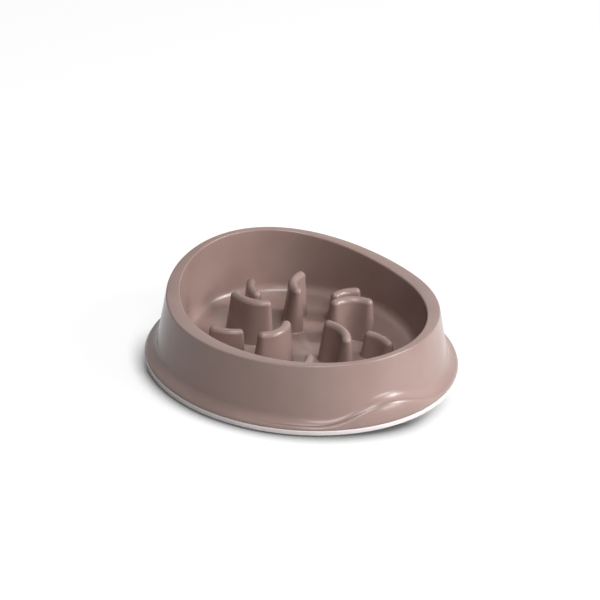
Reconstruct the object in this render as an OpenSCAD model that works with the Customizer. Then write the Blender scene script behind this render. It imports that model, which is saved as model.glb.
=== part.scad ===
// Slow feeder bowl: one moulded bowl with curved blades standing on its floor, and a
// soft ring pressed into a channel under the foot so the bowl does not slide.
// Millimetres, Z up. The origin is the centre of the foot on the resting plane,
// the high back of the rim is toward +Y and the wave in the foot is toward -Y.

/* [Foot] */
// Diameter of the foot
foot_d = 280; // [220:1:340]
// Height of the soft ring that the bowl stands on
ring_h = 4; // [2:0.5:8]
// Width of the soft ring on the ground
ring_w = 12; // [11:0.5:16]
// Rounding of the outer and lower edges of the soft ring
ring_round = 0.8; // [0.2:0.1:1.5]
// Width of the tongue of the soft ring
tongue_w = 4; // [3:0.1:5]
// Height of the tongue of the soft ring
tongue_h = 1.6; // [1:0.1:2]
// Clearance between the tongue and its channel
ring_fit = 0.15; // [0.1:0.05:0.4]
// Distance that the soft ring stands out beyond the bowl
ring_out = 0.8; // [0:0.1:2]
// Height of the rounded band above the soft ring
band_h = 3.4; // [3:0.1:6]
// Inward lean of the band over its height
band_lean = 2.9; // [2:0.1:5]
// Rounding of the lower edge of the band
edge_round = 0.8; // [0.3:0.1:1.2]
// Width of the flared ledge between the band and the wall
ledge_w = 6.5; // [5.5:0.1:8]
// Height above the ledge line at which the line of the ledge meets the line of the wall
ledge_rise = 2.8; // [1:0.1:4.5]
// Height of the flare from the ledge line up to the straight wall
flare_h = 7; // [5:0.5:12]

/* [Wave] */
// Rise of the ledge line at the front
wave_h = 13.8; // [6:0.1:20]
// Extra inward lean of the band at the top of the wave
wave_lean = 2.6; // [0.5:0.1:3]
// Direction of the middle of the wave
wave_direction = -87; // [-100:1:-80]
// Half of the angle that the wave takes up around the foot
wave_angle = 28; // [20:1:45]
// Depth of the shadow groove under the wave
groove_d = 0.5; // [0.3:0.1:1]
// Height of the shadow groove under the wave
groove_h = 0.7; // [0.5:0.1:1.4]
// Direction of the middle of the shadow groove
groove_direction = -100; // [-110:1:-80]
// Half of the angle over which the shadow groove fades away
groove_angle = 45; // [35:1:90]
// Share of the groove that is left all around the foot
groove_least_share = 0.12; // [0.05:0.01:0.5]
// Narrowing of the ledge where the shadow groove is deepest
ledge_narrow = 5; // [0:0.1:5]

/* [Rim] */
// Distance of the rim inside the edge of the foot
rim_inset = 18.4; // [14:0.1:28]
// Setback of the basin and the rim toward the back
basin_setback = 3.3; // [0:0.1:6]
// Height of the rim at the two sides
rim_side_h = 54; // [48:0.5:70]
// Extra height of the rim at the front
rim_front_rise = 1.5; // [0:0.1:10]
// Extra height of the rim at the back
rim_back_rise = 18.2; // [6:0.1:30]
// Width of the lip at the two sides
lip_side_w = 14.5; // [9:0.1:18]
// Width of the lip at the front and the back
lip_end_w = 6.2; // [3.5:0.1:8]
// Rounding of the edges of the lip
lip_round = 1.6; // [0.8:0.1:3]

/* [Basin] */
// Thickness of the walls and the floor
wall = 2.6; // [2:0.1:3.4]
// Height of the basin floor above the ground
floor_h = 10; // [8:0.5:14]
// Radius of the rounding between the floor and the wall
floor_round = 11; // [3:0.5:14]
// Inward slope of the basin wall
basin_slope = 0.09; // [0.04:0.01:0.15]
// Smallest gap between the two walls below the lip
cavity_gap = 2; // [1:0.1:4]

/* [Tall blades] */
// Number of tall blades, and of low fins
blade_count = 5; // [4:1:6]
// Height of the blade tops above the ground at the basin axis
blade_top_h = 50.4; // [40:0.1:54]
// Thickness of a blade near its top
blade_t = 9; // [7:0.1:11]
// Sideways bow of a blade over its length
blade_bow = 5; // [0:0.1:8]
// Radius of the inner end of a blade as a share of the basin radius
blade_inner_share = 0.305; // [0.28:0.005:0.34]
// Radius of the outer end of a blade as a share of the basin radius
blade_outer_share = 0.58; // [0.5:0.005:0.62]
// Direction of the inner end of the first blade
blade_inner_angle = 68.8; // [60:0.1:80]
// Direction of the outer end of the first blade
blade_outer_angle = 61.5; // [50:0.1:70]

/* [Low fins] */
// Height of the fin tops above the ground at the basin axis
fin_top_h = 37; // [28:0.1:40]
// Thickness of a fin near its top
fin_t = 8.6; // [6.6:0.1:9.5]
// Sideways bow of a fin over its length
fin_bow = 2; // [0:0.1:4]
// Radius of the inner end of a fin as a share of the basin radius
fin_inner_share = 0.57; // [0.52:0.005:0.62]
// Radius of the outer end of a fin as a share of the basin radius
fin_outer_share = 0.755; // [0.7:0.005:0.8]
// Direction of the inner end of the first fin
fin_inner_angle = 102; // [95:0.1:110]
// Direction of the outer end of the first fin
fin_outer_angle = 94.3; // [88:0.1:104]

/* [Blades and fins] */
// Draft angle of the faces of the blades and fins
draft = 6; // [3:0.5:7]
// Rise of the tops toward the back for each unit of distance
top_rise_share = 0.053; // [0:0.001:0.1]
// Thickness of the hollow blades and fins
blade_wall = 2.4; // [1.8:0.1:2.8]

/* [Detail] */
// Number of steps around the bowl
around = 96; // [48:12:120]
// Smoothness of the soft ring
$fn = 180;

/* [Hidden] */
BOWL_COLOUR = [0.6, 0.52, 0.5];
RING_COLOUR = [0.9, 0.84, 0.84];

// Sizes that follow from the ones above
foot_r = foot_d / 2;
flange_r = foot_r - ring_out;
rim_r = foot_r - rim_inset;
basin_side_r = rim_r - lip_side_w;
basin_end_r = rim_r - lip_end_w;
ledge_z = ring_h + band_h;
channel_out_r = flange_r - band_lean - wall;
channel_in_r = channel_out_r - tongue_w - 2 * ring_fit;
skirt_foot_r = channel_in_r - wall;
channel_step_z = ring_h + tongue_h + ring_fit;
channel_relief = 2 * ring_fit;
underside_z = floor_h - wall;
blade_root_z = floor_h - wall / 2;
core_start_z = underside_z - wall;

// Places of the corner that rounds the band, as shares of its width and height
KNEE_SHARE = 0.8;
BAND_START_SHARE = 0.3;

// Steps along the curved parts of the section and of the blades
FILLET_STEPS = 4;
UNDER_STEPS = 3;
LIP_STEPS = 2;
FLARE_STEPS = 5;
BAND_STEPS = 3;
EDGE_STEPS = 2;
BLADE_STEPS = 6;
END_STEPS = 6;
DOME_STEPS = 4;
CORE_STEPS = 3;
CORE_SIDES = 8;

// Shape of the bowl around the basin axis, for a direction t in degrees

// A swell that is one in its middle direction and falls to zero at an angle from it
function swell(t, middle, half_angle) =
    let (away = abs((t - middle + 180) % 360 - 180))
    away < half_angle ? pow(cos(90 * away / half_angle), 2) : 0;

function wave(t) = swell(t, wave_direction, wave_angle);

// Share of the full groove in a direction, least where the groove has faded away
function groove(t) =
    groove_least_share + (1 - groove_least_share) * swell(t, groove_direction, groove_angle);

// Distance from the basin axis to a circle that is centred on the foot
function foot_circle(r, t) =
    sqrt(r * r - pow(basin_setback * cos(t), 2)) - basin_setback * sin(t);

function rim_z(t) =
    let (rise = sin(t) > 0 ? rim_back_rise : rim_front_rise)
    rim_side_h + rise * pow(sin(t), 2);

function rim_inner_r(t) =
    1 / sqrt(pow(cos(t) / basin_side_r, 2) + pow(sin(t) / basin_end_r, 2));

function basin_r(t, z) = rim_inner_r(t) - basin_slope * (rim_z(t) - z);

function lip_edge(t) = min(lip_round, 0.45 * (rim_r - rim_inner_r(t)));

function edge_z(t) = ledge_z + wave_h * wave(t);

function edge_r(t) = foot_circle(flange_r, t) - band_lean - wave_lean * wave(t);

function flare_top_z(t) = edge_z(t) + flare_h;

// Width of the ledge in a direction, least where the groove is deepest
function ledge_width(t) = ledge_w - ledge_narrow * groove(t);

// Slope of the outer wall, straight from the rim to the inner side of the ledge
function skirt_slope(t) =
    let (wall_foot_r = flange_r - band_lean - ledge_width(t))
    (foot_circle(wall_foot_r, t) - rim_r) / (rim_z(t) - ledge_z);

function skirt_r(t, z) = rim_r + skirt_slope(t) * (rim_z(t) - z);

// The hollow between the walls stops where they come too close together
function cavity_z(t) =
    let (lip_w = rim_r - rim_inner_r(t))
    let (needed = 2 * wall + cavity_gap - lip_w)
    let (drop = needed / (skirt_slope(t) + basin_slope))
    rim_z(t) - max(wall, drop);

// Radius of a straight line through the ends of the band, at a height
function band_r(t, z) =
    let (share = (z - ring_h) / (edge_z(t) - ring_h))
    foot_circle(flange_r, t) - share * (band_lean + wave_lean * wave(t));

function bezier(a, b, c, u) = pow(1 - u, 2) * a + 2 * u * (1 - u) * b + pow(u, 2) * c;

// Parts of the section, each a list of [radius, height]

function fillet_rows(t, r, from, to, steps) =
    let (centre_z = floor_h + floor_round)
    let (centre_r = basin_r(t, centre_z) - floor_round)
    [for (i = [0:steps])
        let (a = from + (to - from) * i / steps)
        [centre_r + r * sin(a), centre_z - r * cos(a)]];

function lip_rows(t) =
    let (e = lip_edge(t), z = rim_z(t) - e)
    let (inner = [for (i = [0:LIP_STEPS])
        let (a = 90 * i / LIP_STEPS)
        [rim_inner_r(t) + e * (1 - cos(a)), z + e * sin(a)]])
    let (outer = [for (i = [0:LIP_STEPS])
        let (a = 90 * i / LIP_STEPS)
        [rim_r - e * (1 - sin(a)), z + e * cos(a)]])
    concat(inner, outer);

function flare_rows(t) =
    let (top_z = flare_top_z(t), knee_z = edge_z(t) + ledge_rise)
    let (top = [skirt_r(t, top_z), top_z])
    let (knee = [skirt_r(t, knee_z), knee_z])
    let (edge = [edge_r(t), edge_z(t)])
    [for (i = [0:FLARE_STEPS]) bezier(top, knee, edge, i / FLARE_STEPS)];

// The shadow groove below the ledge line, then the rounded band down to the ring
function band_rows(t) =
    let (low = [edge_r(t), edge_z(t)], high = [foot_circle(flange_r, t), ring_h + edge_round])
    let (knee = [low[0] + KNEE_SHARE * (high[0] - low[0]), high[1] + KNEE_SHARE * (low[1] - high[1])])
    let (d = groove_d * groove(t), h = groove_h * groove(t))
    let (start = [low[0] + h * BAND_START_SHARE, low[1] - h])
    concat(
        [[low[0] - d, low[1] - h / 2]],
        [for (i = [0:BAND_STEPS]) bezier(start, knee, high, i / BAND_STEPS)],
        [for (i = [1:EDGE_STEPS])
            let (a = 90 * i / EDGE_STEPS)
            high - edge_round * [1 - cos(a), sin(a)]]);

function channel_rows(t) =
    let (out_r = foot_circle(channel_out_r, t), in_r = foot_circle(channel_in_r, t))
    let (top_z = channel_step_z + channel_relief + (wave_h - groove_h) * wave(t))
    let (top_r = min(out_r, band_r(t, top_z) - wall))
    [[out_r, ring_h],
     [out_r, channel_step_z],
     [top_r, top_z],
     [in_r, top_z],
     [in_r, ring_h]];

function cavity_rows(t) =
    let (bend_z = edge_z(t) - wall, flare_z = flare_top_z(t), top_z = cavity_z(t))
    [[foot_circle(skirt_foot_r, t), ring_h],
     [foot_circle(skirt_foot_r, t), bend_z],
     [skirt_r(t, flare_z) - wall, flare_z],
     [skirt_r(t, top_z) - wall, top_z],
     [basin_r(t, top_z) + wall, top_z]];

function section(t) =
    concat(
        fillet_rows(t, floor_round, 0, 90, FILLET_STEPS),
        lip_rows(t),
        flare_rows(t),
        band_rows(t),
        channel_rows(t),
        cavity_rows(t),
        fillet_rows(t, floor_round + wall, 90, 0, UNDER_STEPS));

// The basin, the lip, the outer wall and the foot, hollow from below
module shell() {
    sections = [for (i = [0:around - 1]) section(360 * i / around)];
    rows = len(sections[0]);
    skin = [for (i = [0:around - 1]) for (p = sections[i])
        let (t = 360 * i / around)
        [p[0] * cos(t), p[0] * sin(t) + basin_setback, p[1]]];
    axis = [[0, basin_setback, floor_h], [0, basin_setback, underside_z]];
    sides = [for (i = [0:around - 1]) for (j = [0:rows - 2])
        let (a = 2 + i * rows + j, b = 2 + ((i + 1) % around) * rows + j)
        [a, b, b + 1, a + 1]];
    floor_top = [for (i = [0:around - 1]) [0, 2 + ((i + 1) % around) * rows, 2 + i * rows]];
    floor_under = [for (i = [0:around - 1])
        [1, 1 + (i + 1) * rows, 1 + ((i + 1) % around + 1) * rows]];
    polyhedron(points = concat(axis, skin), faces = concat(sides, floor_top, floor_under));
}

// Line of a blade in plan, from its inner end to its outer end
function toward(angle) = [cos(angle), sin(angle)];

function across(v) = [-v[1], v[0]] / norm(v);

function bowed(a, b, bow, u) = a + u * (b - a) + 4 * bow * u * (1 - u) * across(b - a);

function on_plan(share, angle) = share * basin_side_r * toward(angle);

// Outline of a blade in plan at a distance off its line, round at both ends
function outline(inner, outer, bow, off) =
    let (line = [for (i = [0:BLADE_STEPS]) bowed(inner, outer, bow, i / BLADE_STEPS)])
    let (first = line[1] - line[0], last = line[BLADE_STEPS] - line[BLADE_STEPS - 1])
    let (first_a = atan2(first[1], first[0]), last_a = atan2(last[1], last[0]))
    let (out_end = [for (i = [0:END_STEPS])
        outer + off * toward(last_a - 90 + 180 * i / END_STEPS)])
    let (in_end = [for (i = [0:END_STEPS])
        inner + off * toward(first_a + 90 + 180 * i / END_STEPS)])
    let (right = [for (i = [1:BLADE_STEPS - 1])
        line[i] - off * across(line[i + 1] - line[i - 1])])
    let (left = [for (i = [1:BLADE_STEPS - 1])
        line[BLADE_STEPS - i] + off * across(line[BLADE_STEPS - i + 1] - line[BLADE_STEPS - i - 1])])
    concat(out_end, left, in_end, right);

// A blade with drafted sides, a domed top and a top line that rises toward the back
module blade(inner, outer, bow, top_h, t) {
    r = t / 2;
    root_r = r + (top_h - r - blade_root_z) * tan(draft);
    root = [for (p = outline(inner, outer, bow, root_r)) [p[0], p[1], blade_root_z]];
    dome = [for (i = [0:DOME_STEPS - 1])
        let (a = 90 * i / DOME_STEPS)
        [for (p = outline(inner, outer, bow, r * cos(a)))
            [p[0], p[1], top_h - r * (1 - sin(a)) + top_rise_share * p[1]]]];
    rows = concat([root], dome);
    n = len(root);
    sides = [for (j = [0:len(rows) - 2]) for (i = [0:n - 1])
        let (a = j * n + i, b = j * n + (i + 1) % n)
        [a, a + n, b + n, b]];
    under = [for (i = [0:n - 1]) i];
    over = [for (i = [1:n]) len(rows) * n - i];
    translate([0, basin_setback, 0])
    polyhedron(points = [for (row = rows) for (p = row) p], faces = concat(sides, [under, over]));
}

// The hollow of a blade, open to the underside of the bowl
module blade_core(inner, outer, bow, top_h, t) {
    drop = max(t / 2, 2 * blade_wall);
    top_r = t / 2 - blade_wall + (drop - t / 2) * tan(draft);
    for (i = [0:CORE_STEPS - 1]) {
        hull() {
            for (u = [i, i + 1]) {
                at = bowed(inner, outer, bow, u / CORE_STEPS);
                height = top_h + top_rise_share * at[1] - drop - core_start_z;
                translate([at[0], at[1] + basin_setback, core_start_z])
                cylinder(h = height, r1 = top_r + height * tan(draft), r2 = top_r, $fn = CORE_SIDES);
            }
        }
    }
}

// The tall blades and the low fins, each as a solid or as the hollow inside it
module each_blade() {
    for (k = [0:blade_count - 1]) {
        turn = 360 * k / blade_count;
        $inner = on_plan(blade_inner_share, blade_inner_angle - turn);
        $outer = on_plan(blade_outer_share, blade_outer_angle - turn);
        children();
    }
}

module each_fin() {
    for (k = [0:blade_count - 1]) {
        turn = 360 * k / blade_count;
        $inner = on_plan(fin_inner_share, fin_inner_angle - turn);
        $outer = on_plan(fin_outer_share, fin_outer_angle - turn);
        children();
    }
}

module bowl() {
    color(BOWL_COLOUR)
    difference() {
        union() {
            shell();
            each_blade() blade($inner, $outer, blade_bow, blade_top_h, blade_t);
            each_fin() blade($inner, $outer, fin_bow, fin_top_h, fin_t);
        }
        each_blade() blade_core($inner, $outer, blade_bow, blade_top_h, blade_t);
        each_fin() blade_core($inner, $outer, fin_bow, fin_top_h, fin_t);
    }
}

module non_slip_ring() {
    in_r = foot_r - ring_w;
    tongue_out_r = channel_out_r - ring_fit;
    tongue_in_r = channel_in_r + ring_fit;
    tongue_z = ring_h + tongue_h;
    color(RING_COLOUR)
    rotate_extrude()
    polygon([
        [in_r + ring_round, 0],
        [foot_r - ring_round, 0],
        [foot_r, ring_round],
        [foot_r, ring_h - ring_round],
        [foot_r - ring_round, ring_h],
        [tongue_out_r, ring_h],
        [tongue_out_r, tongue_z],
        [tongue_in_r, tongue_z],
        [tongue_in_r, ring_h],
        [in_r, ring_h],
        [in_r, ring_round]]);
}

bowl();
non_slip_ring();
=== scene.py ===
"""Looks for the slow feeder bowl: satin moulded plastic on a pale soft ring."""

import math

import bpy
from mathutils import Matrix, Vector


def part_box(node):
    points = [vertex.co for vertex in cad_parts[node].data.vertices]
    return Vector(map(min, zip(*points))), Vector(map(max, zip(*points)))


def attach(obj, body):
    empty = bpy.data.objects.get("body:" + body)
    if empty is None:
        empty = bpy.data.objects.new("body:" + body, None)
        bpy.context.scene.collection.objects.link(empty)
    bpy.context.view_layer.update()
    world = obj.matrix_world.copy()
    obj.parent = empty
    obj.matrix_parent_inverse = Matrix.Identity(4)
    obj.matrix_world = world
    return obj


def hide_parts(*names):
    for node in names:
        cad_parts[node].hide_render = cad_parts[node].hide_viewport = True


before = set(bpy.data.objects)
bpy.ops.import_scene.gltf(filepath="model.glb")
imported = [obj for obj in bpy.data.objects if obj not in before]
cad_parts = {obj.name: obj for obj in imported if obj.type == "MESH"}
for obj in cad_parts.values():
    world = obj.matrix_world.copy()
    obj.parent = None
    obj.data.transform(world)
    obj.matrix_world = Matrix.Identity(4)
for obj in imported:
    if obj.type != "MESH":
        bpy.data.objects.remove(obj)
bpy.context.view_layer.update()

# ---------------------------------------------------------------- sizes, in millimetres
MM = 0.001
ring_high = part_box("non_slip_ring")[1]
bowl_low, bowl_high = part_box("bowl")

FOOT_R = ring_high[0] / MM
RING_TOP = bowl_low[2] / MM
BACK_TOP = bowl_high[2] / MM

RING_W, RING_ROUND, RING_OUT = 12, 0.8, 0.8
TONGUE_W, TONGUE_H, RING_FIT = 4, 1.6, 0.15
BAND_H, BAND_LEAN, EDGE_ROUND = 3.4, 2.9, 0.8
LEDGE_W, LEDGE_NARROW, LEDGE_RISE, FLARE_H = 6.5, 5, 2.8, 7
GROOVE_D, GROOVE_H = 0.5, 0.7
GROOVE_MIDDLE, GROOVE_HALF, GROOVE_LEAST = -100, 45, 0.12
KNEE_SHARE, BAND_START_SHARE = 0.8, 0.3

WAVE_H, WAVE_LEAN = 13.8, 2.6
WAVE_MIDDLE, WAVE_HALF = -87, 28

SETBACK = 3.3
RIM_R = FOOT_R - 18.4
SIDE_TOP, FRONT_RISE = 54, 1.5
BACK_RISE = BACK_TOP - SIDE_TOP
BASIN_SIDE_R = RIM_R - 14.5
BASIN_END_R = RIM_R - 6.2
LIP_ROUND, LIP_SHARE = 1.6, 0.45

WALL, FLOOR_Z, FLOOR_ROUND = 2.6, 10, 11
BASIN_SLOPE, CAVITY_GAP = 0.09, 2

BLADES = 5
TOP_RISE = 0.053
DRAFT = math.tan(math.radians(6))
FOOT_ROUND, FOOT_SINK = 1.4, 0.05
BLADE_WALL = 2.4
TALL = {"top": 50.4, "thick": 9, "bow": 5, "inner": (0.305, 68.8), "outer": (0.58, 61.5)}
LOW = {"top": 37, "thick": 8.6, "bow": 2, "inner": (0.57, 102), "outer": (0.755, 94.3)}

FLANGE_R = FOOT_R - RING_OUT
LEDGE_Z = RING_TOP + BAND_H
CHANNEL_OUT_R = FLANGE_R - BAND_LEAN - WALL
CHANNEL_IN_R = CHANNEL_OUT_R - TONGUE_W - 2 * RING_FIT
SKIRT_FOOT_R = CHANNEL_IN_R - WALL
CHANNEL_STEP_Z = RING_TOP + TONGUE_H + RING_FIT
UNDERSIDE_Z = FLOOR_Z - WALL

# How finely the curves are drawn
AROUND = 288
FILLET_STEPS, LIP_STEPS, FLARE_STEPS, BAND_STEPS, CORNER_STEPS = 12, 6, 12, 8, 6
BLADE_STEPS, END_STEPS, TOP_STEPS, FOOT_STEPS = 14, 12, 8, 5

# Angles in degrees: how far the rounded top of a blade turns over, and what stays a sharp edge
TOP_TURN, SHARP_ANGLE = 82, 35


# ---------------------------------------------------------------- shape of the bowl
def sin(degrees):
    return math.sin(math.radians(degrees))


def cos(degrees):
    return math.cos(math.radians(degrees))


def swell(t, middle, half):
    """One at the middle direction, fading to nothing at half an angle to either side."""
    away = abs((t - middle + 180) % 360 - 180)
    return cos(90 * away / half) ** 2 if away < half else 0


def wave(t):
    """How much of the wave is reached in a direction."""
    return swell(t, WAVE_MIDDLE, WAVE_HALF)


def groove(t):
    """How much of the groove below the ledge line is cut in a direction."""
    return GROOVE_LEAST + (1 - GROOVE_LEAST) * swell(t, GROOVE_MIDDLE, GROOVE_HALF)


def foot_circle(r, t):
    """Distance from the basin axis to a circle that is centred on the foot."""
    return math.sqrt(r * r - (SETBACK * cos(t)) ** 2) - SETBACK * sin(t)


def rim_z(t):
    rise = BACK_RISE if sin(t) > 0 else FRONT_RISE
    return SIDE_TOP + rise * sin(t) ** 2


def rim_inner_r(t):
    return 1 / math.sqrt((cos(t) / BASIN_SIDE_R) ** 2 + (sin(t) / BASIN_END_R) ** 2)


def basin_r(t, z):
    return rim_inner_r(t) - BASIN_SLOPE * (rim_z(t) - z)


def edge_z(t):
    return LEDGE_Z + WAVE_H * wave(t)


def edge_r(t):
    return foot_circle(FLANGE_R, t) - BAND_LEAN - WAVE_LEAN * wave(t)


def ledge_width(t):
    """Widest away from the groove."""
    return LEDGE_W - LEDGE_NARROW * groove(t)


def flare_top_z(t):
    return edge_z(t) + FLARE_H


def skirt_slope(t):
    wall_foot_r = FLANGE_R - BAND_LEAN - ledge_width(t)
    return (foot_circle(wall_foot_r, t) - RIM_R) / (rim_z(t) - LEDGE_Z)


def skirt_r(t, z):
    return RIM_R + skirt_slope(t) * (rim_z(t) - z)


def cavity_z(t):
    """The hollow between the walls stops where they come too close together."""
    needed = 2 * WALL + CAVITY_GAP - (RIM_R - rim_inner_r(t))
    return rim_z(t) - max(WALL, needed / (skirt_slope(t) + BASIN_SLOPE))


def band_r(t, z):
    share = (z - RING_TOP) / (edge_z(t) - RING_TOP)
    return foot_circle(FLANGE_R, t) - share * (BAND_LEAN + WAVE_LEAN * wave(t))


def shares(steps):
    return [i / steps for i in range(steps + 1)]


def quarter(steps):
    """Angles of a quarter turn."""
    return [90 * u for u in shares(steps)]


def bezier(a, b, c, steps):
    """Points of a curve from a to c that heads for b first."""
    return [tuple((1 - u) ** 2 * p + 2 * u * (1 - u) * q + u * u * s for p, q, s in zip(a, b, c))
            for u in shares(steps)]


def basin_fillet(t, r, start, end, steps):
    centre_z = FLOOR_Z + FLOOR_ROUND
    centre_r = basin_r(t, centre_z) - FLOOR_ROUND
    turns = [start + (end - start) * u for u in shares(steps)]
    return [(centre_r + r * sin(a), centre_z - r * cos(a)) for a in turns]


def lip(t):
    e = min(LIP_ROUND, LIP_SHARE * (RIM_R - rim_inner_r(t)))
    z = rim_z(t) - e
    inner = [(rim_inner_r(t) + e * (1 - cos(a)), z + e * sin(a)) for a in quarter(LIP_STEPS)]
    outer = [(RIM_R - e * (1 - sin(a)), z + e * cos(a)) for a in quarter(LIP_STEPS)]
    return inner + outer


def flare(t):
    top_z, knee_z = flare_top_z(t), edge_z(t) + LEDGE_RISE
    top, knee = (skirt_r(t, top_z), top_z), (skirt_r(t, knee_z), knee_z)
    return bezier(top, knee, (edge_r(t), edge_z(t)), FLARE_STEPS)


def band(t):
    """The shadow groove below the ledge line, then the rounded band down to the ring."""
    low_r, low_z = edge_r(t), edge_z(t)
    high_r, corner_z = foot_circle(FLANGE_R, t), RING_TOP + EDGE_ROUND
    knee = (low_r + KNEE_SHARE * (high_r - low_r), corner_z + KNEE_SHARE * (low_z - corner_z))
    depth, height = GROOVE_D * groove(t), GROOVE_H * groove(t)
    start = (low_r + BAND_START_SHARE * height, low_z - height)
    corner = [(high_r - EDGE_ROUND * (1 - cos(a)), corner_z - EDGE_ROUND * sin(a))
              for a in quarter(CORNER_STEPS)[1:]]
    return ([(low_r - depth, low_z - height / 2)]
            + bezier(start, knee, (high_r, corner_z), BAND_STEPS) + corner)


def channel(t):
    out_r, in_r = foot_circle(CHANNEL_OUT_R, t), foot_circle(CHANNEL_IN_R, t)
    top_z = CHANNEL_STEP_Z + 2 * RING_FIT + (WAVE_H - GROOVE_H) * wave(t)
    top_r = min(out_r, band_r(t, top_z) - WALL)
    return [(out_r, RING_TOP), (out_r, CHANNEL_STEP_Z), (top_r, top_z), (in_r, top_z), (in_r, RING_TOP)]


def cavity(t):
    bend_z, flare_z, top_z = edge_z(t) - WALL, flare_top_z(t), cavity_z(t)
    foot = foot_circle(SKIRT_FOOT_R, t)
    return [(foot, RING_TOP), (foot, bend_z), (skirt_r(t, flare_z) - WALL, flare_z),
            (skirt_r(t, top_z) - WALL, top_z), (basin_r(t, top_z) + WALL, top_z)]


def section(t):
    """Section of the bowl in a direction, from the floor over the lip and round to its underside."""
    return (basin_fillet(t, FLOOR_ROUND, 0, 90, FILLET_STEPS) + lip(t) + flare(t) + band(t)
            + channel(t) + cavity(t) + basin_fillet(t, FLOOR_ROUND + WALL, 90, 0, FILLET_STEPS))


# ---------------------------------------------------------------- making meshes
def piece(name, points, faces):
    """A new object from points in millimetres."""
    mesh = bpy.data.meshes.new(name)
    mesh.from_pydata([tuple(c * MM for c in p) for p in points], [], faces)
    mesh.validate()
    made = bpy.data.objects.new(name, mesh)
    bpy.context.scene.collection.objects.link(made)
    return made


def smooth(made):
    made.data.shade_smooth()
    made.data.set_sharp_from_angle(angle=math.radians(SHARP_ANGLE))


def between(rings, size, joined=False):
    """Faces between rings of points, each ring of that size, and from the last to the first if joined."""
    pairs = [(j, (j + 1) % rings) for j in range(rings if joined else rings - 1)]
    return [(a * size + i, a * size + (i + 1) % size, b * size + (i + 1) % size, b * size + i)
            for a, b in pairs for i in range(size)]


TURNS = [360 * i / AROUND for i in range(AROUND)]


def shell():
    """The basin, the lip, the outer wall and the foot, closed by the floor's two flat faces."""
    rows = list(zip(*[section(t) for t in TURNS]))
    points = [(r * cos(t), r * sin(t) + SETBACK, z) for row in rows for (r, z), t in zip(row, TURNS)]
    last = (len(rows) - 1) * AROUND
    floor_under = [last + i for i in range(AROUND)]
    return piece("bowl_moulding", points, [tuple(reversed(f)) for f in between(len(rows), AROUND)]
                 + [tuple(range(AROUND)), tuple(reversed(floor_under))])


def soft_ring():
    """The ring's own section, turned all the way round."""
    bends = [(RING_ROUND * (1 - cos(a)), RING_ROUND * (1 - sin(a))) for a in quarter(CORNER_STEPS)]
    inner = FOOT_R - RING_W
    outer_low = [(FOOT_R - in_z, in_r) for in_r, in_z in bends]
    outer_high = [(FOOT_R - in_r, RING_TOP - in_z) for in_r, in_z in bends]
    inner_low = [(inner + in_r, in_z) for in_r, in_z in bends]
    tongue_out, tongue_in = CHANNEL_OUT_R - RING_FIT, CHANNEL_IN_R + RING_FIT
    tongue_z = RING_TOP + TONGUE_H
    tongue = [(tongue_out, RING_TOP), (tongue_out, tongue_z), (tongue_in, tongue_z), (tongue_in, RING_TOP)]
    rows = outer_low + outer_high + tongue + [(inner, RING_TOP)] + inner_low
    points = [(r * cos(t), r * sin(t), z) for r, z in rows for t in TURNS]
    return piece("soft_ring", points, between(len(rows), AROUND, joined=True))


def on_plan(place, turn):
    share, angle = place
    return Vector((cos(angle - turn), sin(angle - turn))) * share * BASIN_SIDE_R


def across(v):
    return Vector((-v.y, v.x)).normalized()


def outline(kind, turn, off):
    """Outline of a blade in plan at a distance off its line, round at both ends."""
    a, b = on_plan(kind["inner"], turn), on_plan(kind["outer"], turn)
    line = [a + u * (b - a) + 4 * kind["bow"] * u * (1 - u) * across(b - a)
            for u in shares(BLADE_STEPS)]
    first, last = line[1] - line[0], line[-1] - line[-2]
    first_a, last_a = math.degrees(math.atan2(first.y, first.x)), math.degrees(math.atan2(last.y, last.x))
    caps = [180 * u for u in shares(END_STEPS)]
    out_end = [b + off * Vector((cos(last_a - 90 + c), sin(last_a - 90 + c))) for c in caps]
    in_end = [a + off * Vector((cos(first_a + 90 + c), sin(first_a + 90 + c))) for c in caps]
    sides = [off * across(line[i + 1] - line[i - 1]) for i in range(1, BLADE_STEPS)]
    left = [p + s for p, s in zip(line[1:-1], sides)]
    right = [p - s for p, s in zip(line[1:-1], sides)]
    return out_end + left[::-1] + in_end + right


def stack(kind, turn, levels):
    """Points and faces of a blade from levels of (distance off its line, height, height follows the top)."""
    points = []
    for off, z, follows in levels:
        points += [(p.x, p.y + SETBACK, z + (TOP_RISE * p.y if follows else 0))
                   for p in outline(kind, turn, off)]
    size = len(points) // len(levels)
    cap = [tuple(reversed(range(size))), tuple(len(points) - size + i for i in range(size))]
    return points, between(len(levels), size) + cap


def blade_levels(kind):
    """From the root in the floor over the foot rounding and the drafted side to the rounded top."""
    half = kind["thick"] / 2
    shoulder, foot_z = kind["top"] - half, FLOOR_Z - FOOT_SINK
    side = half + (shoulder - foot_z - FOOT_ROUND) * DRAFT
    foot = [(side + FOOT_ROUND * (1 - sin(a)), foot_z + FOOT_ROUND * (1 - cos(a)), False)
            for a in quarter(FOOT_STEPS)]
    top = [(half * cos(TOP_TURN * u), shoulder + half * sin(TOP_TURN * u), True) for u in shares(TOP_STEPS)]
    return [(foot[0][0], FLOOR_Z - WALL / 2, False)] + foot + top


def core_levels(kind):
    """The hollow inside a blade, open below."""
    top_z, low_z = kind["top"] - 2 * BLADE_WALL, UNDERSIDE_Z - WALL
    top_off = max(kind["thick"] / 2 - BLADE_WALL, BLADE_WALL / 4)
    return [(top_off + (top_z - low_z) * DRAFT, low_z, False), (top_off, top_z, True)]


def all_blades(name, levels):
    points, faces = [], []
    for kind in (TALL, LOW):
        for k in range(BLADES):
            more, sides = stack(kind, 360 * k / BLADES, levels(kind))
            faces += [tuple(len(points) + i for i in f) for f in sides]
            points += more
    return piece(name, points, faces)


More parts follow.
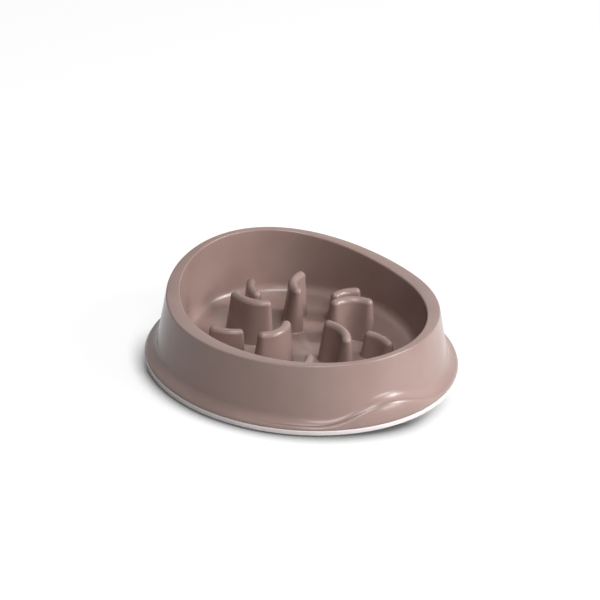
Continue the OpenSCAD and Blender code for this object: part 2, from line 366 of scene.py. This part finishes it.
def join_solids(made, other, operation):
    """The solid that is left after a union or a cut, as the first object's own mesh."""
    step = made.modifiers.new(operation, "BOOLEAN")
    step.operation, step.solver, step.object = operation, "EXACT", other
    graph = bpy.context.evaluated_depsgraph_get()
    result = bpy.data.meshes.new_from_object(made.evaluated_get(graph))
    made.modifiers.remove(step)
    made.data = result
    bpy.data.objects.remove(other)


# ---------------------------------------------------------------- materials
class Link:
    """A socket of a shader that takes part in Python arithmetic."""

    def __init__(self, shader, socket):
        self.shader, self.socket = shader, socket

    def math(self, operation, *values):
        return self.shader.node("ShaderNodeMath", {"operation": operation}, dict(enumerate(values)))

    def __add__(self, other):
        return self.math("ADD", self, other)

    def __sub__(self, other):
        return self.math("SUBTRACT", self, other)

    def __rsub__(self, other):
        return self.math("SUBTRACT", other, self)

    def __mul__(self, other):
        return self.math("MULTIPLY", self, other)

    __radd__, __rmul__ = __add__, __mul__


class Shader:
    """The node tree of a finish or of the surroundings."""

    def __init__(self, owner):
        owner.use_nodes = True
        self.owner, self.tree = owner, owner.node_tree
        self.tree.nodes.clear()

    def node(self, kind, settings, values, output=0):
        """A node of that kind, with its settings made first and then its sockets set or linked."""
        new = self.tree.nodes.new(kind)
        for key, value in settings.items():
            setattr(new, key, value)
        for key, value in values.items():
            if isinstance(value, Link):
                self.tree.links.new(value.socket, new.inputs[key])
            else:
                new.inputs[key].default_value = value
        return Link(self, new.outputs[output] if new.outputs else None)

    def place(self):
        """Position on the piece, in metres."""
        return self.node("ShaderNodeTexCoord", {}, {}, "Object")

    def height(self):
        """Height above the ground, in millimetres."""
        return self.node("ShaderNodeSeparateXYZ", {}, {"Vector": self.place()}, "Z") * (1 / MM)

    def noise(self, per_metre, detail, stretch=(1, 1, 1)):
        spread = self.node("ShaderNodeMapping", {}, {"Vector": self.place(), "Scale": stretch})
        return self.node("ShaderNodeTexNoise", {}, {"Vector": spread, "Scale": per_metre, "Detail": detail})

    def ramp(self, value, low, high):
        """Zero below low, one above high."""
        return self.node("ShaderNodeMapRange", {}, {"Value": value, "From Min": low, "From Max": high})

    def blend(self, share, a, b):
        """One colour going over to another."""
        return self.node("ShaderNodeMix", {"data_type": "RGBA"}, {0: share, 6: a, 7: b}, 2)

    def bump(self, height, distance, strength, under=None):
        values = {"Height": height, "Distance": distance, "Strength": strength}
        if under:
            values["Normal"] = under
        return self.node("ShaderNodeBump", {}, values)

    def seen(self):
        """One for rays that the camera sends, straight or by way of a shiny or clear surface."""
        kinds = [self.node("ShaderNodeLightPath", {}, {}, "Is %s Ray" % kind)
                 for kind in ("Camera", "Glossy", "Transmission")]
        return kinds[0].math("MAXIMUM", kinds[0].math("MAXIMUM", kinds[0], kinds[1]), kinds[2])

    def surface(self, values):
        """Ends the tree with one plastic or rubber surface, and hands back the material."""
        skin = self.node("ShaderNodeBsdfPrincipled", {}, values)
        self.node("ShaderNodeOutputMaterial", {}, {"Surface": skin})
        return self.owner


PLASTIC = (0.3, 0.203, 0.179, 1)
PLASTIC_PALE = (0.332, 0.229, 0.205, 1)
SCUFF = (0.4, 0.315, 0.29, 1)
RUBBER = (0.78, 0.715, 0.71, 1)
RUBBER_WARM = (0.73, 0.65, 0.64, 1)
RUBBER_LOW_DARK = (0.5, 0.46, 0.45, 1)

# How fine the patterns are, as spots in a metre
PLASTIC_CLOUD, PLASTIC_GRAIN, SCRATCHES, MOULD_WAVES = 22, 1500, 260, 60
RUBBER_CLOUD, RUBBER_GRAIN, LOW_DARK_SPOTS = 45, 1100, 120
SCRATCH_STRETCH = (1, 1, 0.15)

# Roughness without the patterns, and the refractive index
PLASTIC_ROUGH, PLASTIC_GLOSS = 0.18, 1.41
RUBBER_ROUGH, RUBBER_GLOSS = 0.5, 1.5

# Heights in millimetres between which the scuffs and the darker spots low on the ring fade out
SCUFF_LOW, SCUFF_HIGH = LEDGE_Z - 1, LEDGE_Z + 3
LOW_DARK_BOTTOM, LOW_DARK_TOP = 0.2, 1.4


def satin_plastic():
    """Moulded plastic with a satin sheen, soft clouds, a fine grain and faint scuffs low on the foot."""
    s = Shader(bpy.data.materials.new("satin_plastic"))
    cloud = s.ramp(s.noise(PLASTIC_CLOUD, 3), 0.35, 0.65)
    grain = s.noise(PLASTIC_GRAIN, 2)
    scratch = s.ramp(s.noise(SCRATCHES, 4, SCRATCH_STRETCH), 0.62, 0.78)
    low = 1 - s.ramp(s.height(), SCUFF_LOW, SCUFF_HIGH)
    scuffs = scratch * low * 0.35
    colour = s.blend(scuffs, s.blend(cloud, PLASTIC, PLASTIC_PALE), SCUFF)
    rough = grain * 0.05 + cloud * 0.04 + scuffs * 0.15 + PLASTIC_ROUGH
    waves = s.bump(s.noise(MOULD_WAVES, 1), 0.0006, 0.05)
    return s.surface({"Base Color": colour, "Roughness": rough, "IOR": PLASTIC_GLOSS,
                      "Normal": s.bump(grain, 0.00015, 0.12, waves)})


def soft_rubber():
    """Pale soft rubber, darker in spots where it meets the ground."""
    s = Shader(bpy.data.materials.new("soft_rubber"))
    cloud = s.ramp(s.noise(RUBBER_CLOUD, 3), 0.35, 0.7)
    # The ring gets darker in noise spots towards its bottom, near the ground
    low_dark = (1 - s.ramp(s.height(), LOW_DARK_BOTTOM, LOW_DARK_TOP)) * s.noise(LOW_DARK_SPOTS, 3)
    grain = s.noise(RUBBER_GRAIN, 3)
    colour = s.blend(low_dark * 0.6, s.blend(cloud, RUBBER, RUBBER_WARM), RUBBER_LOW_DARK)
    return s.surface({"Base Color": colour, "Roughness": grain * 0.1 + RUBBER_ROUGH, "IOR": RUBBER_GLOSS,
                      "Normal": s.bump(grain, 0.0002, 0.2)})


# ---------------------------------------------------------------- the pieces
moulding = shell()
join_solids(moulding, all_blades("blades", blade_levels), "UNION")
join_solids(moulding, all_blades("cores", core_levels), "DIFFERENCE")
smooth(moulding)
moulding.data.materials.append(satin_plastic())
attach(moulding, "root")
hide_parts("bowl")

ring = soft_ring()
smooth(ring)
ring.data.materials.append(soft_rubber())
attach(ring, "root")
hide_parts("non_slip_ring")

# ---------------------------------------------------------------- camera
# The photograph was taken from the front left, a little tilted. These come from a fit of the
# camera to the outline, the rim and the blades: angles in degrees, distances in metres.
VIEW_ANGLE, LIFT, TILT, TURN = 12, 26.82, 3.61, 32.18
DISTANCE = 2.5433
FOOT_IN_VIEW = (301.76, 357.81)
IMAGE_SIZE = 600

to_frame = Matrix.Rotation(math.radians(-TURN), 3, "Z")
focal = IMAGE_SIZE / 2 / math.tan(math.radians(VIEW_ANGLE / 2))
right, up = Vector((1, 0, 0)), Vector((0, sin(LIFT), cos(LIFT)))
ahead = Vector((0, cos(LIFT), -sin(LIFT)))
image_x = cos(TILT) * right + sin(TILT) * up
image_y = -sin(TILT) * right + cos(TILT) * up
shift_x = (FOOT_IN_VIEW[0] - IMAGE_SIZE / 2) / focal * DISTANCE
shift_y = -(FOOT_IN_VIEW[1] - IMAGE_SIZE / 2) / focal * DISTANCE
eye = to_frame @ -(shift_x * image_x + shift_y * image_y + DISTANCE * ahead)
axes = Matrix([to_frame @ image_x, to_frame @ image_y, to_frame @ -ahead]).transposed()

camera = bpy.data.objects.new("camera", bpy.data.cameras.new("camera"))
camera.data.sensor_fit = "HORIZONTAL"
camera.data.angle = math.radians(VIEW_ANGLE)
camera.matrix_world = Matrix.Translation(eye) @ axes.to_4x4()
bpy.context.scene.collection.objects.link(camera)
bpy.context.scene.camera = camera


# ---------------------------------------------------------------- studio
# Square lamps that face the bowl. The bearing is seen in the photograph's plan, 0 to the right,
# and the lift is above the ground, both in degrees. Then the size in metres and the power in watts.
LAMP_AWAY = 1.6
LAMPS = {"side": (0, 35, 0.5, 16.2), "low": (-23, 20, 0.5, 8.1),
         "top": (-50, 72, 0.5, 9.4), "front": (-76, 42, 0.3, 4.2)}


def on_bearing(bearing, lift=0):
    return to_frame @ Vector((cos(bearing) * cos(lift), sin(bearing) * cos(lift), sin(lift)))


for name, (bearing, lift, size, watts) in LAMPS.items():
    lamp = bpy.data.lights.new(name, "AREA")
    lamp.size, lamp.energy = size, watts
    made = bpy.data.objects.new(name, lamp)
    place = on_bearing(bearing, lift) * LAMP_AWAY
    made.matrix_world = Matrix.Translation(place) @ place.to_track_quat("Z", "Y").to_matrix().to_4x4()
    bpy.context.scene.collection.objects.link(made)

# The floor shines just enough to look white, and the room gives a little light from all around
PAPER_GLOW, ROOM_LIGHT = 0.89, 0.05
PAPER, SHADOW_GREY = (0.85, 0.85, 0.85, 1), (0.2, 0.2, 0.2, 1)
WHITE, BLACK = (1, 1, 1, 1), (0, 0, 0, 1)
FLOOR_HALF = 4000

# The photograph has a dark contact shade on the floor in front of the bowl. It reaches this far in
# metres and fades between two shares of open sky. It lies toward one bearing, gets to its full
# strength this far out from the axis, and leaves a tenth of the floor's white.
SHADE_REACH, SHADE_DARK, SHADE_LIGHT = 0.033, 0.74, 0.945
SHADE_BEARING, SHADE_OUT, SHADE_DEPTH = -106, 0.08, 0.9

floor = piece("floor", [(-FLOOR_HALF, -FLOOR_HALF, 0), (FLOOR_HALF, -FLOOR_HALF, 0),
                        (FLOOR_HALF, FLOOR_HALF, 0), (-FLOOR_HALF, FLOOR_HALF, 0)], [(0, 1, 2, 3)])
paper = Shader(bpy.data.materials.new("white_paper"))
open_share = paper.node("ShaderNodeAmbientOcclusion", {"samples": 16}, {"Distance": SHADE_REACH}, "AO")
front = paper.node("ShaderNodeVectorMath", {"operation": "DOT_PRODUCT"},
                   {0: paper.place(), 1: on_bearing(SHADE_BEARING)}, "Value")
shade = (1 - paper.ramp(open_share, SHADE_DARK, SHADE_LIGHT)) * paper.ramp(front, 0, SHADE_OUT)
bare = 1 - shade * SHADE_DEPTH
matt = paper.node("ShaderNodeBsdfDiffuse", {}, {"Color": PAPER})
shaded = paper.node("ShaderNodeBsdfDiffuse", {}, {"Color": paper.blend(bare, BLACK, SHADOW_GREY)})
glow = paper.node("ShaderNodeEmission", {},
                  {"Color": paper.blend(bare, BLACK, WHITE), "Strength": PAPER_GLOW})
lifted = paper.node("ShaderNodeAddShader", {}, {0: shaded, 1: glow})
mixed = paper.node("ShaderNodeMixShader", {}, {0: paper.seen(), 1: matt, 2: lifted})
paper.node("ShaderNodeOutputMaterial", {}, {"Surface": mixed})
floor.data.materials.append(paper.owner)

room = Shader(bpy.data.worlds.new("room"))
level = room.node("ShaderNodeMapRange", {}, {"Value": room.seen(), "To Min": ROOM_LIGHT, "To Max": 1})
light = room.node("ShaderNodeBackground", {}, {"Color": WHITE, "Strength": level})
room.node("ShaderNodeOutputWorld", {}, {"Surface": light})
bpy.context.scene.world = room.owner

bpy.context.scene.view_settings.view_transform = "Standard"
